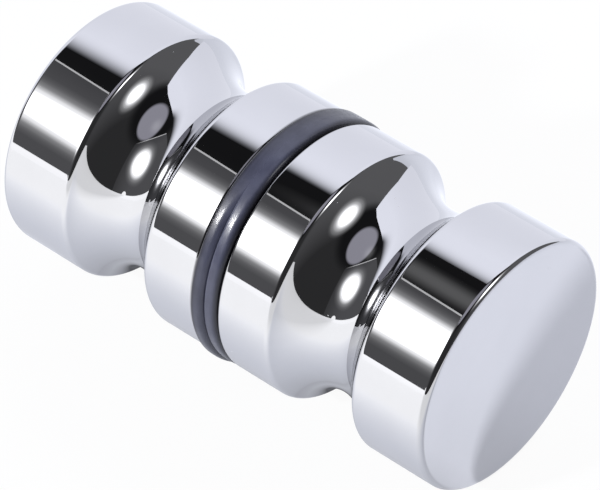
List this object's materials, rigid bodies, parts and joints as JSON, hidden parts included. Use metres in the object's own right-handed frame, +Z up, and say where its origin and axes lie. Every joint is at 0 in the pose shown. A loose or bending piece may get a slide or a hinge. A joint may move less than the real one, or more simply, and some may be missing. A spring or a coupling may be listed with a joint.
{
  "type": "shower door handle",
  "caption": "Back-to-back shower door handle: waisted chrome knobs drawn together by a threaded stud, with dark rubber gaskets that clamp the glass between them.",
  "frame": {"origin": "on the knobs' shared axis, in the clamp plane where the two gaskets meet and the glass goes", "axes": "+Y along the shared axis from the front knob to the rear knob, +Z up as the handle sits on a door"},
  "size_m": [0.0308, 0.0604, 0.0308],
  "materials": {
    "knob_chrome": "polished plating",
    "gasket_rubber": "satin",
    "stud_steel": "bright zinc plating",
    "sleeve_nylon": "natural, matte"
  },
  "bodies": {
    "root": {"front_knob": "knob_chrome", "rear_knob": "knob_chrome", "front_gasket": "gasket_rubber", "rear_gasket": "gasket_rubber", "stud": "stud_steel", "sleeve": "sleeve_nylon"}
  },
  "joints": []
}
